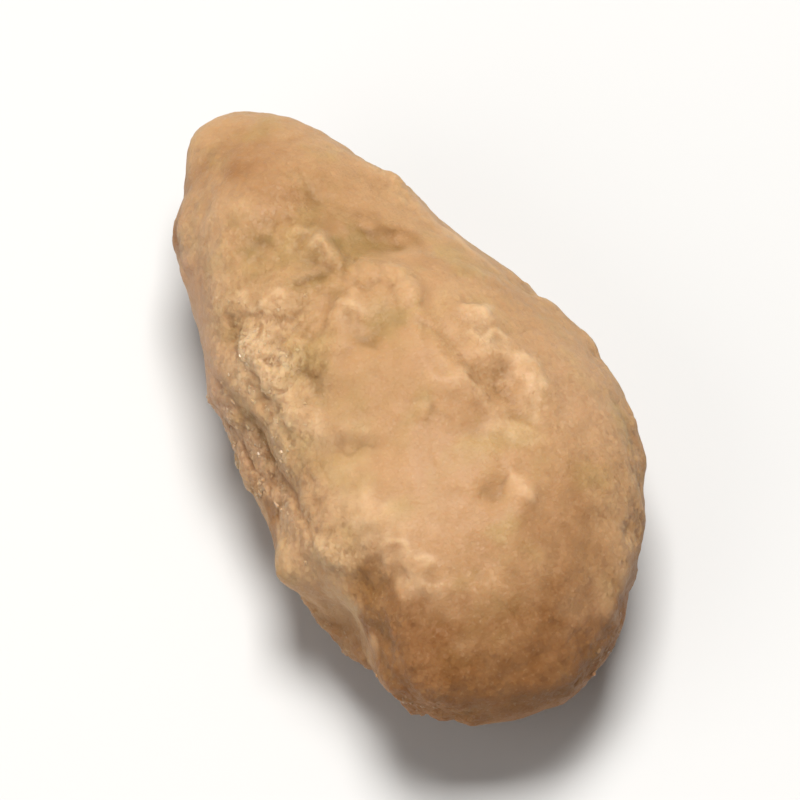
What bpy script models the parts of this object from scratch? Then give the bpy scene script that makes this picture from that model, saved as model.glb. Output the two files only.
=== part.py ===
"""One whole almond in a crusty, browned sugar coat, lying on its broad side.

The coat is one closed surface. A block of grid cells becomes directions on a sphere, the
directions are stretched into the teardrop of the coated almond, and the sugar's relief is
then raised and sunk along the outward direction: broad swells, lumps, flakes, seeded nodules
and pits, and the ridges and hollows placed by hand on the upper side.

Metres, +Z up. +Y runs from the round end to the tip, +X to the right seen from above. The
origin is the middle of the footprint, on the surface that the almond rests on.
"""

import math
from collections import namedtuple

import bmesh
import bpy
import numpy as np

MM = 0.001

# Driving dimensions in millimetres, measured over the sugar coat.
LENGTH = 27.0
WIDTH = 14.9
HEIGHT = 11.2
FLAT_CUT = 0.35          # how much of the underside was flattened as the sugar set

# Grid cells along X, Y and Z, about 0.4 mm each.
CELLS = (28, 43, 22)

# The teardrop. A place along it runs from 1 at the tip to -1 at the round end.
PLAN_FULLNESS = 0.915
PLAN_TAPER = 0.233       # the tip's end is narrower than the round end by this share
PLAN_HIP = 0.364         # narrows the neck and widens the hip
HIP_REACH = 0.384
DEPTH_TAPER = 0.08
BOW = 0.59               # millimetres by which the middle leans to the right
BOW_PLACE = -0.15
BOW_REACH = 0.48
HOOK = 1.0               # millimetres by which the round end turns back to the left
HOOK_START = 0.53
POLE = 0.995             # a place by hand comes no nearer to either end than this

# Waves of sugar: how far apart and how high in millimetres, and the seed of the random draw.
Waves = namedtuple("Waves", "span height seed")
SWELL = Waves(8.5, 0.15, 11)
LUMP = Waves(4.2, 0.16, 12)
KNOBBLE = Waves(1.7, 0.06, 13)
FLAKE = Waves(2.2, 0.10, 14)
CRUST = Waves(5.2, 1.0, 15)
WARP = Waves(2.6, 0.28, 16)
WAVE_COUNT = 28
SPAN_SPREAD = (0.75, 1.35)
WARP_SEED_STEP = 100
SMOOTH_LUMP_SHARE = 0.35 # how much of the lumps shows where the sugar melted smooth
FLAKE_EDGE = (-0.2, 0.7)
CRUST_EDGE = (-0.9, 0.5)

# Nodules and pits of the rough sugar: radii in millimetres, and the height per radius.
Domes = namedtuple("Domes", "trials smallest largest rise seed")
NODULES = Domes(420, 0.5, 1.0, 0.14, 21)
PITS = Domes(220, 0.45, 0.9, -0.14, 22)
MERGE = 4.0              # how sharply one nodule gives way to the next

# Where the almond rests, the relief is pressed flatter.
FOOT_EDGE = (0.55, 0.90)
FOOT_RELIEF = 0.35

# Where the sugar melted smooth on the upper side, in millimetres.
Melted = namedtuple("Melted", "across along reach")
MELTED = {
    "cap of the tip": Melted(0.2, 11.2, 4.2),
    "right side of the neck": Melted(5.0, 4.0, 3.4),
    "left side of the neck": Melted(-3.6, 6.5, 2.6),
    "right bulge": Melted(5.4, -4.6, 4.4),
    "middle": Melted(-1.2, -1.0, 2.6),
    "waist": Melted(-3.2, -2.8, 2.2),
    "middle of the belly": Melted(-0.6, -5.6, 3.8),
    "round end": Melted(0.5, -11.0, 5.4),
}
MELTED_SHARE = 0.92
MELTED_EDGE = 3.0

# Ridges, bumps and hollows placed by hand on the upper side, in millimetres. A place past the
# edge lands on the rim, the long axis is turned from +X in degrees, and a hollow has a
# negative rise.
Mark = namedtuple("Mark", "across along half_length half_width turn rise")
MARK_DEPTH = 1.5         # how far a mark reaches through the coat, in half lengths
MARKS = {
    # The tip
    "corner of the tip": Mark(-0.9, 13.0, 1.0, 1.2, 30.0, 0.42),
    "shoulder of the cap": Mark(-2.2, 8.0, 1.7, 1.1, 75.0, 0.30),
    "rim of the cap": Mark(3.7, 7.7, 1.7, 0.6, 108.0, 0.24),
    "recess below the rim": Mark(2.1, 4.3, 1.3, 0.5, -27.0, -0.34),
    "recess beside the shoulder": Mark(-2.0, 6.3, 0.9, 0.7, 60.0, -0.26),
    "dimple of the cap": Mark(0.6, 7.3, 0.6, 0.5, 0.0, -0.22),
    "knob on the left rim of the tip": Mark(-3.8, 9.9, 0.7, 0.9, 90.0, 0.26),
    # The neck
    "knob under the dimple": Mark(0.0, 5.2, 0.5, 0.45, 0.0, 0.26),
    "pit in the neck": Mark(-1.1, 4.1, 0.55, 0.45, 30.0, -0.22),
    "step of the left flank": Mark(-4.1, 5.2, 1.1, 0.6, -25.0, 0.22),
    "pit of the left flank": Mark(-4.3, 4.0, 0.5, 0.4, 60.0, -0.20),
    "knob of the left flank": Mark(-3.0, 4.0, 0.5, 0.45, 0.0, 0.26),
    "ridge down the left flank": Mark(-4.3, 1.2, 1.9, 0.5, 99.0, 0.34),
    "low knob of the left flank": Mark(-5.1, 2.2, 1.6, 0.6, 100.0, 0.34),
    "groove beside the ridge": Mark(-3.2, 0.2, 1.1, 0.45, 100.0, -0.20),
    "lower pit of the left flank": Mark(-5.7, 0.5, 0.9, 0.5, 80.0, -0.12),
    # The middle
    "knob of the middle": Mark(-0.4, 2.3, 0.5, 0.4, 0.0, 0.24),
    "pit of the middle": Mark(-0.4, 0.6, 0.6, 0.45, 0.0, -0.24),
    "upper knob on the right": Mark(3.6, -0.4, 0.6, 0.35, -29.0, 0.28),
    "lower knob on the right": Mark(2.9, -2.0, 0.6, 0.4, -29.0, 0.30),
    "groove on the right": Mark(2.8, -3.7, 1.2, 0.45, 93.0, -0.16),
    "ridge beside the groove": Mark(4.1, -3.3, 1.1, 0.6, 93.0, 0.30),
    "crest of the middle": Mark(1.5, -2.7, 0.8, 0.4, 93.0, 0.24),
    "right bulge": Mark(5.9, -4.3, 2.0, 1.6, 93.0, 0.28),
    "crease": Mark(-3.2, -2.7, 1.2, 0.35, -29.0, -0.16),
    "swelling above the crease": Mark(-3.3, -1.5, 0.9, 0.6, -29.0, 0.22),
    # The belly and the round end
    "top of the belly": Mark(-3.9, -5.6, 1.8, 1.2, -29.0, 0.24),
    "lip of the hollow": Mark(-4.3, -8.4, 0.8, 0.5, 100.0, 0.30),
    "hollow": Mark(-5.2, -7.2, 0.9, 0.5, -35.0, -0.26),
    "tail of the hollow": Mark(-5.4, -9.0, 0.9, 0.5, 75.0, -0.32),
    "knob over the hollow": Mark(-5.8, -5.0, 0.6, 0.5, 0.0, 0.26),
    "knob on the belly": Mark(1.5, -7.5, 0.6, 0.45, 60.0, 0.26),
    "pit on the belly": Mark(0.6, -7.0, 0.5, 0.45, 0.0, -0.24),
    "crystals at the round end": Mark(2.6, -11.8, 0.7, 0.5, 0.0, 0.24),
    # The rim on the left
    "bulge of the left flank": Mark(-5.3, 4.0, 1.5, 1.2, 70.0, 0.30),
    "recess of the waist": Mark(-6.2, -1.2, 2.0, 1.5, 93.0, -0.75),
    "nub": Mark(-6.8, -3.9, 0.7, 0.9, 93.0, 0.62),
    "recess below the nub": Mark(-6.9, -7.1, 1.4, 1.3, 93.0, -0.70),
    "corner of the round end": Mark(-5.2, -10.2, 1.6, 1.6, 93.0, 0.62),
}

COAT_COLOUR = (0.53, 0.33, 0.16, 1.0)
COAT_ROUGHNESS = 0.55


def smooth_step(edge, value):
    """Rise from 0 at the edge's low end to 1 at its high end, with flat ends."""
    low, high = edge
    share = np.clip((value - low) / (high - low), 0.0, 1.0)
    return share * share * (3.0 - 2.0 * share)


def taper(place):
    """Width factor, depth factor and sideways lean at a place along the teardrop."""
    hip = PLAN_HIP * place * np.exp(-(place / HIP_REACH) ** 2)
    plan = PLAN_FULLNESS * (1.0 - PLAN_TAPER * place - hip)
    depth = 1.0 - DEPTH_TAPER * place
    bow = BOW * np.exp(-((place - BOW_PLACE) / BOW_REACH) ** 2)
    hook = HOOK * smooth_step((HOOK_START, 1.0), -place)
    return plan, depth, bow - hook


def teardrop(directions):
    """Stretch unit directions into the plain coated almond, in millimetres round its middle."""
    plan, depth, lean = taper(directions[:, 1])
    return np.column_stack((
        0.5 * WIDTH * plan * directions[:, 0] + lean,
        0.5 * LENGTH * directions[:, 1],
        0.5 * HEIGHT * depth * directions[:, 2],
    ))


def outward(directions):
    """The direction that points straight out of the teardrop."""
    plan, depth, _ = taper(directions[:, 1])
    normals = np.column_stack((
        directions[:, 0] / (WIDTH * plan),
        directions[:, 1] / LENGTH,
        directions[:, 2] / (HEIGHT * depth),
    ))
    return normals / np.linalg.norm(normals, axis=1, keepdims=True)


def upper_direction(across, along):
    """The unit direction of the place on the upper side that lies this far across and along."""
    place = min(max(along / (0.5 * LENGTH), -POLE), POLE)
    plan, _, lean = taper(place)
    rim = math.sqrt(1.0 - place * place)
    side = min(max((across - lean) / (0.5 * WIDTH * plan), -rim), rim)
    return np.array([[side, place, math.sqrt(rim * rim - side * side)]])


def random_directions(draw, count):
    """Unit directions spread evenly over a sphere."""
    directions = draw.normal(size=(count, 3))
    return directions / np.linalg.norm(directions, axis=1, keepdims=True)


def wave_height(points, relief):
    """Even, random waves: sines along seeded directions, added up to a spread of about 1."""
    draw = np.random.default_rng(relief.seed)
    ways = random_directions(draw, WAVE_COUNT)
    spans = relief.span * draw.uniform(*SPAN_SPREAD, WAVE_COUNT)
    starts = draw.uniform(0.0, math.tau, WAVE_COUNT)
    turns = math.tau * (points @ ways.T) / spans + starts
    return np.sin(turns).sum(axis=1) / math.sqrt(0.5 * WAVE_COUNT)


def warped(points):
    """Points pushed about by slow waves, so that a round shape drawn on them comes out uneven."""
    shifts = [
        wave_height(points, WARP._replace(seed=WARP.seed + WARP_SEED_STEP * axis))
        for axis in range(3)
    ]
    return points + WARP.height * np.column_stack(shifts)


def crust(points):
    """1 where the sugar stayed rough and crystalline, near 0 where it melted smooth."""
    rough = smooth_step(CRUST_EDGE, wave_height(points, CRUST))
    for zone in MELTED.values():
        middle = teardrop(upper_direction(zone.across, zone.along))
        away = np.linalg.norm(points - middle, axis=1) / zone.reach
        rough = rough * (1.0 - MELTED_SHARE * np.exp(-away ** MELTED_EDGE))
    return rough


def dome_height(points, domes):
    """Seeded bumps on the rough sugar, (1 - distance squared) squared each, merged softly."""
    draw = np.random.default_rng(domes.seed)
    middles = teardrop(random_directions(draw, domes.trials))
    radii = domes.smallest + (domes.largest - domes.smallest) * draw.random(domes.trials) ** 2
    kept = draw.random(domes.trials) < crust(middles) ** 2
    uneven = warped(points)
    total = np.zeros(len(points))
    for middle, radius in zip(middles[kept], radii[kept]):
        near = 1.0 - ((uneven - middle) ** 2).sum(axis=1) / (radius * radius)
        total += (radius * np.clip(near, 0.0, 1.0) ** 2) ** MERGE
    return domes.rise * total ** (1.0 / MERGE)


def mark_height(points):
    """The ridges and hollows placed by hand, each half as high at its half length and width."""
    total = np.zeros(len(points))
    for mark in MARKS.values():
        direction = upper_direction(mark.across, mark.along)
        out = outward(direction)[0]
        turn = math.radians(mark.turn)
        lengthwise = np.array((math.cos(turn), math.sin(turn), 0.0))
        lengthwise -= out * lengthwise.dot(out)
        lengthwise /= np.linalg.norm(lengthwise)
        offset = points - teardrop(direction)
        away = (offset @ lengthwise / mark.half_length) ** 2
        away += (offset @ np.cross(out, lengthwise) / mark.half_width) ** 2
        away += (offset @ out / (MARK_DEPTH * mark.half_length)) ** 2
        total += mark.rise * np.exp2(-away)
    return total


def sugar_height(points, directions):
    """How far the sugar stands out from the plain teardrop, in millimetres."""
    rough = crust(points)
    lumps = SMOOTH_LUMP_SHARE + (1.0 - SMOOTH_LUMP_SHARE) * rough
    height = SWELL.height * wave_height(points, SWELL)
    height += LUMP.height * lumps * np.abs(wave_height(points, LUMP))
    height += KNOBBLE.height * rough * np.abs(wave_height(points, KNOBBLE))
    height += FLAKE.height * rough * smooth_step(FLAKE_EDGE, wave_height(points, FLAKE))
    height += dome_height(points, NODULES)
    height += dome_height(points, PITS)
    height += mark_height(points)
    foot = smooth_step(FOOT_EDGE, -directions[:, 2])
    return height * (1.0 - (1.0 - FOOT_RELIEF) * foot)


def almond_points(directions):
    """The finished coat in millimetres, brought to the driving dimensions and cut flat below."""
    plain = teardrop(directions)
    rough = plain + outward(directions) * sugar_height(plain, directions)[:, None]
    low = rough.min(axis=0)
    high = rough.max(axis=0)
    size = np.array((WIDTH, LENGTH, HEIGHT + FLAT_CUT))
    points = (rough - 0.5 * (low + high)) * size / (high - low)
    points[:, 2] = np.maximum(points[:, 2] + 0.5 * size[2] - FLAT_CUT, 0.0)
    return points


def grid_block(cells):
    """A closed cube from -1 to 1, its edges along X, Y and Z cut into this many cells."""
    block = bmesh.new()
    bmesh.ops.create_cube(block, size=2.0)
    for axis, count in enumerate(cells):
        lengthwise = [
            edge for edge in block.edges
            if abs(edge.verts[0].co[axis] - edge.verts[1].co[axis]) > 1.0
        ]
        bmesh.ops.subdivide_edges(block, edges=lengthwise, cuts=count - 1, use_grid_fill=True)
    return block


def coat_material():
    """Browned sugar: tan and half matte."""
    material = bpy.data.materials.new("sugar_coat")
    material.use_nodes = True
    material.diffuse_color = COAT_COLOUR
    shader = material.node_tree.nodes["Principled BSDF"]
    shader.inputs["Base Color"].default_value = COAT_COLOUR
    shader.inputs["Roughness"].default_value = COAT_ROUGHNESS
    shader.inputs["Metallic"].default_value = 0.0
    return material


def build_almond():
    """Make the candied almond's one object from the block, by way of directions on a sphere."""
    block = grid_block(CELLS)
    mesh = bpy.data.meshes.new("candied_almond")
    block.to_mesh(mesh)
    block.free()
    places = np.empty(3 * len(mesh.vertices))
    mesh.vertices.foreach_get("co", places)
    directions = np.tan(0.25 * math.pi * places.reshape(-1, 3))
    directions /= np.linalg.norm(directions, axis=1, keepdims=True)
    mesh.vertices.foreach_set("co", (MM * almond_points(directions)).ravel())
    mesh.update()
    mesh.materials.append(coat_material())
    mesh.shade_smooth()
    almond = bpy.data.objects.new("candied_almond", mesh)
    bpy.context.scene.collection.objects.link(almond)


for leftover in list(bpy.data.objects):
    bpy.data.objects.remove(leftover)

build_almond()
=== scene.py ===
# %% [markdown]
# # A candied almond
#
# On the real sweet, a whole almond was stirred in boiling sugar until the sugar dried,
# crystallised and browned on it. All that shows is sugar: a crust of fused crystals, tan where
# it is dry, smooth where it melted again, and brown where it caught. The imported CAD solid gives
# the true size and the main shape. This lesson lays the fine crust over the same form, adds the
# loose crystals, gives each its finish, and puts the almond in a small studio.

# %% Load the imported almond
import itertools
import math
from collections import namedtuple

import bpy
import numpy as np
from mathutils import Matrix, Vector


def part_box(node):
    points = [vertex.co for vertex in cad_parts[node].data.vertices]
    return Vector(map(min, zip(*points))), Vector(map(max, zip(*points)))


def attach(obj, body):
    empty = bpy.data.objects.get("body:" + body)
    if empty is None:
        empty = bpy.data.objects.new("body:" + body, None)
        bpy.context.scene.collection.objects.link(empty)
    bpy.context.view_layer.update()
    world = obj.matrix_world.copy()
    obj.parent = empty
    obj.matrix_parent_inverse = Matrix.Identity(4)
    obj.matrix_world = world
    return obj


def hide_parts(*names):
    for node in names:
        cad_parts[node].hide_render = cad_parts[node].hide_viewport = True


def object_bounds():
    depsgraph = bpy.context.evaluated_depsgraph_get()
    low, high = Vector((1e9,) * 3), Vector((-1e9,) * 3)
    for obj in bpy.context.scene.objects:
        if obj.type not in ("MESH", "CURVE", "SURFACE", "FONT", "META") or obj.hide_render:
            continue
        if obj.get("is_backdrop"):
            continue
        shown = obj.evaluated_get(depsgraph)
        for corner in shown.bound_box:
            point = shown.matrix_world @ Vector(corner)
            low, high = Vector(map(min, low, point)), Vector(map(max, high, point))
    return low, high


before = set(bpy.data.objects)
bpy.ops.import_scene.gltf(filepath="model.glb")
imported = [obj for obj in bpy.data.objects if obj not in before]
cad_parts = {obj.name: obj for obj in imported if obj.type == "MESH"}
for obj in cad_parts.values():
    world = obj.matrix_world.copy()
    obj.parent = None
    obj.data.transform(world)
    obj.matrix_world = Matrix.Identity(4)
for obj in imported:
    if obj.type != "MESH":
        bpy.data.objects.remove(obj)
cad_box = [list(corner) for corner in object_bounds()]

MM = 0.001
low_corner, high_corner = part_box("candied_almond")
WIDTH, LENGTH, HEIGHT = (high_corner - low_corner) / MM
print(f"the solid is {WIDTH:.2f} x {LENGTH:.2f} x {HEIGHT:.2f} mm")

# %% [markdown]
# ## The form under the sugar
#
# An almond is a teardrop: narrow at the tip, widest at the hip, thinner than it is wide. It
# could be sculpted by hand, or pulled from a sphere with a lattice. Here it is a formula. Every
# point of the surface starts as a direction from the middle, and the direction is stretched
# into the teardrop. The same formula made the solid, so the crust will lie exactly on it.

# %% The teardrop
FLAT_CUT = 0.35          # millimetres of the underside that went flat as the sugar set
PLAN_FULLNESS = 0.915
PLAN_TAPER = 0.233       # narrows towards the tip and widens towards the round end
PLAN_HIP = 0.364         # narrows the neck and widens the hip
HIP_REACH = 0.384
DEPTH_TAPER = 0.08
BOW = 0.59               # millimetres by which the middle leans to the right
BOW_PLACE = -0.15
BOW_REACH = 0.48
HOOK = 1.0               # millimetres by which the round end turns back to the left
HOOK_START = 0.53
POLE = 0.995             # a listed place comes no nearer to either end than this


def smooth_step(edge, value):
    """Rise from 0 at the edge's low end to 1 at its high end, with flat ends."""
    low, high = edge
    share = np.clip((value - low) / (high - low), 0.0, 1.0)
    return share * share * (3.0 - 2.0 * share)


def unit(vectors):
    """The same vectors, one unit long."""
    return vectors / np.linalg.norm(vectors, axis=1, keepdims=True)


def taper(place):
    """Width factor, depth factor and sideways lean at a place along the teardrop. Both factors
    fall evenly towards the tip, the width with a hip added, and the lean is a bow less a hook."""
    hip = PLAN_HIP * place * np.exp(-(place / HIP_REACH) ** 2)
    plan = PLAN_FULLNESS * (1.0 - PLAN_TAPER * place - hip)
    depth = 1.0 - DEPTH_TAPER * place
    bow = BOW * np.exp(-((place - BOW_PLACE) / BOW_REACH) ** 2)
    hook = HOOK * smooth_step((HOOK_START, 1.0), -place)
    return plan, depth, bow - hook


def teardrop(directions):
    """Stretch unit directions into the plain coated almond, in millimetres round its middle."""
    plan, depth, lean = taper(directions[:, 1])
    return np.column_stack((
        0.5 * WIDTH * plan * directions[:, 0] + lean,
        0.5 * LENGTH * directions[:, 1],
        0.5 * HEIGHT * depth * directions[:, 2],
    ))


def outward(directions):
    """The way out of the teardrop: the direction divided, axis by axis, by what stretched it."""
    plan, depth, _ = taper(directions[:, 1])
    return unit(np.column_stack((
        directions[:, 0] / (WIDTH * plan),
        directions[:, 1] / LENGTH,
        directions[:, 2] / (HEIGHT * depth),
    )))


def upper_direction(across, along):
    """The unit direction of the place on the upper side that lies this far across and along."""
    place = min(max(along / (0.5 * LENGTH), -POLE), POLE)
    plan, _, lean = taper(place)
    rim = math.sqrt(1.0 - place * place)
    side = min(max((across - lean) / (0.5 * WIDTH * plan), -rim), rim)
    return np.array([[side, place, math.sqrt(rim * rim - side * side)]])


# %% [markdown]
# ## The crust's main relief
#
# As the sugar dried it left swells, lumps, flakes, small nodules and pits, and some of it melted
# smooth again. Random relief can come from a noise texture, but a sum of sine waves along
# seeded directions is just as irregular, and it gives the same almond each time. The ridges and
# hollows that make this almond itself are placed one by one, each one a soft oval in the coat.

# %% Waves, nodules and pits
# Spans, radii and heights are in millimetres, apart from the height of waves that only choose
# where something is. A dome's rise is a share of its radius.
Waves = namedtuple("Waves", "span height seed")
SWELL = Waves(8.5, 0.15, 11)
LUMP = Waves(4.2, 0.16, 12)
KNOBBLE = Waves(1.7, 0.06, 13)
FLAKE = Waves(2.2, 0.10, 14)
CRUST = Waves(5.2, 1.0, 15)
WARP = Waves(2.6, 0.28, 16)
WAVE_COUNT = 28
SPAN_SPREAD = (0.75, 1.35)
WARP_SEED_STEP = 100
SMOOTH_LUMP_SHARE = 0.35 # how much of the lumps shows where the sugar melted smooth
FLAKE_EDGE = (-0.2, 0.7) # flakes and rough sugar begin where their waves pass these heights
CRUST_EDGE = (-0.9, 0.5)

Domes = namedtuple("Domes", "trials smallest largest rise seed")
NODULES = Domes(420, 0.5, 1.0, 0.14, 21)
PITS = Domes(220, 0.45, 0.9, -0.14, 22)
MERGE = 4.0              # how sharply one nodule gives way to the next
FOOT_EDGE = (0.55, 0.90)
FOOT_RELIEF = 0.35       # where the almond rests, the relief is pressed flatter

# Where the sugar melted smooth on the upper side, in millimetres.
Melted = namedtuple("Melted", "across along reach")
MELTED = {
    "cap of the tip": Melted(0.2, 11.2, 4.2),
    "right side of the neck": Melted(5.0, 4.0, 3.4),
    "left side of the neck": Melted(-3.6, 6.5, 2.6),
    "right bulge": Melted(5.4, -4.6, 4.4),
    "middle": Melted(-1.2, -1.0, 2.6),
    "waist": Melted(-3.2, -2.8, 2.2),
    "middle of the belly": Melted(-0.6, -5.6, 3.8),
    "round end": Melted(0.5, -11.0, 5.4),
}
MELTED_SHARE = 0.92      # how much of the roughness is gone in the middle of a zone
MELTED_EDGE = 3.0        # how sharply a zone ends


def random_directions(draw, count):
    """Unit directions spread evenly over a sphere."""
    return unit(draw.normal(size=(count, 3)))


def wave_height(points, relief):
    """Even, random waves: sines along seeded directions, added up to a spread of about 1."""
    draw = np.random.default_rng(relief.seed)
    ways = random_directions(draw, WAVE_COUNT)
    spans = relief.span * draw.uniform(*SPAN_SPREAD, WAVE_COUNT)
    starts = draw.uniform(0.0, math.tau, WAVE_COUNT)
    turns = math.tau * (points @ ways.T) / spans + starts
    return np.sin(turns).sum(axis=1) / math.sqrt(0.5 * WAVE_COUNT)


def warped(points, warp):
    """Points pushed about by slow waves, so that a round shape drawn on them comes out uneven."""
    shifts = [
        wave_height(points, warp._replace(seed=warp.seed + WARP_SEED_STEP * axis))
        for axis in range(3)
    ]
    return points + warp.height * np.column_stack(shifts)


def crust(points):
    """1 where the sugar stayed rough and crystalline, near 0 where it melted smooth: a step of
    slow waves, less a soft ball round the middle of each melted zone."""
    rough = smooth_step(CRUST_EDGE, wave_height(points, CRUST))
    for zone in MELTED.values():
        middle = teardrop(upper_direction(zone.across, zone.along))
        away = np.linalg.norm(points - middle, axis=1) / zone.reach
        rough = rough * (1.0 - MELTED_SHARE * np.exp(-away ** MELTED_EDGE))
    return rough


def dome_height(points, domes):
    """Seeded bumps on the rough sugar, (1 - distance squared) squared each, merged softly."""
    draw = np.random.default_rng(domes.seed)
    middles = teardrop(random_directions(draw, domes.trials))
    radii = domes.smallest + (domes.largest - domes.smallest) * draw.random(domes.trials) ** 2
    kept = draw.random(domes.trials) < crust(middles) ** 2
    uneven = warped(points, WARP)
    total = np.zeros(len(points))
    for middle, radius in zip(middles[kept], radii[kept]):
        near = 1.0 - ((uneven - middle) ** 2).sum(axis=1) / (radius * radius)
        total += (radius * np.clip(near, 0.0, 1.0) ** 2) ** MERGE
    return domes.rise * total ** (1.0 / MERGE)


# %% Ridges and hollows placed one by one
# A place past the edge lands on the rim, the long axis is turned from +X in degrees, a hollow has
# a negative rise, and the rest is in millimetres.
Mark = namedtuple("Mark", "across along half_length half_width turn rise")
MARK_DEPTH = 1.5         # how far a mark reaches through the coat, in half lengths
MARKS = {
    # The tip
    "corner of the tip": Mark(-0.9, 13.0, 1.0, 1.2, 30.0, 0.42),
    "shoulder of the cap": Mark(-2.2, 8.0, 1.7, 1.1, 75.0, 0.30),
    "rim of the cap": Mark(3.7, 7.7, 1.7, 0.6, 108.0, 0.24),
    "recess below the rim": Mark(2.1, 4.3, 1.3, 0.5, -27.0, -0.34),
    "recess beside the shoulder": Mark(-2.0, 6.3, 0.9, 0.7, 60.0, -0.26),
    "dimple of the cap": Mark(0.6, 7.3, 0.6, 0.5, 0.0, -0.22),
    "knob on the left rim of the tip": Mark(-3.8, 9.9, 0.7, 0.9, 90.0, 0.26),
    # The neck
    "knob under the dimple": Mark(0.0, 5.2, 0.5, 0.45, 0.0, 0.26),
    "pit in the neck": Mark(-1.1, 4.1, 0.55, 0.45, 30.0, -0.22),
    "step of the left flank": Mark(-4.1, 5.2, 1.1, 0.6, -25.0, 0.22),
    "pit of the left flank": Mark(-4.3, 4.0, 0.5, 0.4, 60.0, -0.20),
    "knob of the left flank": Mark(-3.0, 4.0, 0.5, 0.45, 0.0, 0.26),
    "ridge down the left flank": Mark(-4.3, 1.2, 1.9, 0.5, 99.0, 0.34),
    "low knob of the left flank": Mark(-5.1, 2.2, 1.6, 0.6, 100.0, 0.34),
    "groove beside the ridge": Mark(-3.2, 0.2, 1.1, 0.45, 100.0, -0.20),
    "lower pit of the left flank": Mark(-5.7, 0.5, 0.9, 0.5, 80.0, -0.12),
    # The middle
    "knob of the middle": Mark(-0.4, 2.3, 0.5, 0.4, 0.0, 0.24),
    "pit of the middle": Mark(-0.4, 0.6, 0.6, 0.45, 0.0, -0.24),
    "upper knob on the right": Mark(3.6, -0.4, 0.6, 0.35, -29.0, 0.28),
    "lower knob on the right": Mark(2.9, -2.0, 0.6, 0.4, -29.0, 0.30),
    "groove on the right": Mark(2.8, -3.7, 1.2, 0.45, 93.0, -0.16),
    "ridge beside the groove": Mark(4.1, -3.3, 1.1, 0.6, 93.0, 0.30),
    "crest of the middle": Mark(1.5, -2.7, 0.8, 0.4, 93.0, 0.24),
    "right bulge": Mark(5.9, -4.3, 2.0, 1.6, 93.0, 0.28),
    "crease": Mark(-3.2, -2.7, 1.2, 0.35, -29.0, -0.16),
    "swelling above the crease": Mark(-3.3, -1.5, 0.9, 0.6, -29.0, 0.22),
    # The belly and the round end
    "top of the belly": Mark(-3.9, -5.6, 1.8, 1.2, -29.0, 0.24),
    "lip of the hollow": Mark(-4.3, -8.4, 0.8, 0.5, 100.0, 0.30),
    "hollow": Mark(-5.2, -7.2, 0.9, 0.5, -35.0, -0.26),
    "tail of the hollow": Mark(-5.4, -9.0, 0.9, 0.5, 75.0, -0.32),
    "knob over the hollow": Mark(-5.8, -5.0, 0.6, 0.5, 0.0, 0.26),
    "knob on the belly": Mark(1.5, -7.5, 0.6, 0.45, 60.0, 0.26),
    "pit on the belly": Mark(0.6, -7.0, 0.5, 0.45, 0.0, -0.24),
    "crystals at the round end": Mark(2.6, -11.8, 0.7, 0.5, 0.0, 0.24),
    # The rim on the left
    "bulge of the left flank": Mark(-5.3, 4.0, 1.5, 1.2, 70.0, 0.30),
    "recess of the waist": Mark(-6.2, -1.2, 2.0, 1.5, 93.0, -0.75),
    "nub": Mark(-6.8, -3.9, 0.7, 0.9, 93.0, 0.62),
    "recess below the nub": Mark(-6.9, -7.1, 1.4, 1.3, 93.0, -0.70),
    "corner of the round end": Mark(-5.2, -10.2, 1.6, 1.6, 93.0, 0.62),
}


def mark_height(points, marks):
    """The sum of soft ovals placed by hand, each half as strong at its half length and width."""
    total = np.zeros(len(points))
    for mark in marks.values():
        direction = upper_direction(mark.across, mark.along)
        out = outward(direction)[0]
        turn = math.radians(mark.turn)
        lengthwise = np.array((math.cos(turn), math.sin(turn), 0.0))
        lengthwise -= out * lengthwise.dot(out)
        lengthwise /= np.linalg.norm(lengthwise)
        offset = points - teardrop(direction)
        away = (offset @ lengthwise / mark.half_length) ** 2
        away += (offset @ np.cross(out, lengthwise) / mark.half_width) ** 2
        away += (offset @ out / (MARK_DEPTH * mark.half_length)) ** 2
        total += mark.rise * np.exp2(-away)
    return total


def relief_kept(directions):
    """The share of the relief that is left: all of it, but less where the almond rests."""
    return 1.0 - (1.0 - FOOT_RELIEF) * smooth_step(FOOT_EDGE, -directions[:, 2])


def sugar_height(points, directions, rough):
    """How far the sugar stands out from the plain teardrop, in millimetres: waves, folded waves,
    flakes, domes and marks, added up."""
    lumps = SMOOTH_LUMP_SHARE + (1.0 - SMOOTH_LUMP_SHARE) * rough
    height = SWELL.height * wave_height(points, SWELL)
    height += LUMP.height * lumps * np.abs(wave_height(points, LUMP))
    height += KNOBBLE.height * rough * np.abs(wave_height(points, KNOBBLE))
    height += FLAKE.height * rough * smooth_step(FLAKE_EDGE, wave_height(points, FLAKE))
    height += dome_height(points, NODULES)
    height += dome_height(points, PITS)
    height += mark_height(points, MARKS)
    return height * relief_kept(directions)


print(f"{len(MARKS)} ridges and hollows and {len(MELTED)} melted zones are placed by hand")

# %% [markdown]
# ## A closed grid of points
#
# A sphere drawn with circles of latitude crowds its points at two poles, and the relief would
# pucker there. A block has none: each of its six sides is a grid with two parameters, and when
# its points are pushed out to a sphere they stay evenly spread. Points on the block's edges
# belong to two or three sides, so they are merged by their whole-number place.

# %% Directions from the block's six sides
CELLS = (118, 181, 92)   # along X, Y and Z, about a tenth of a millimetre each


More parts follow.
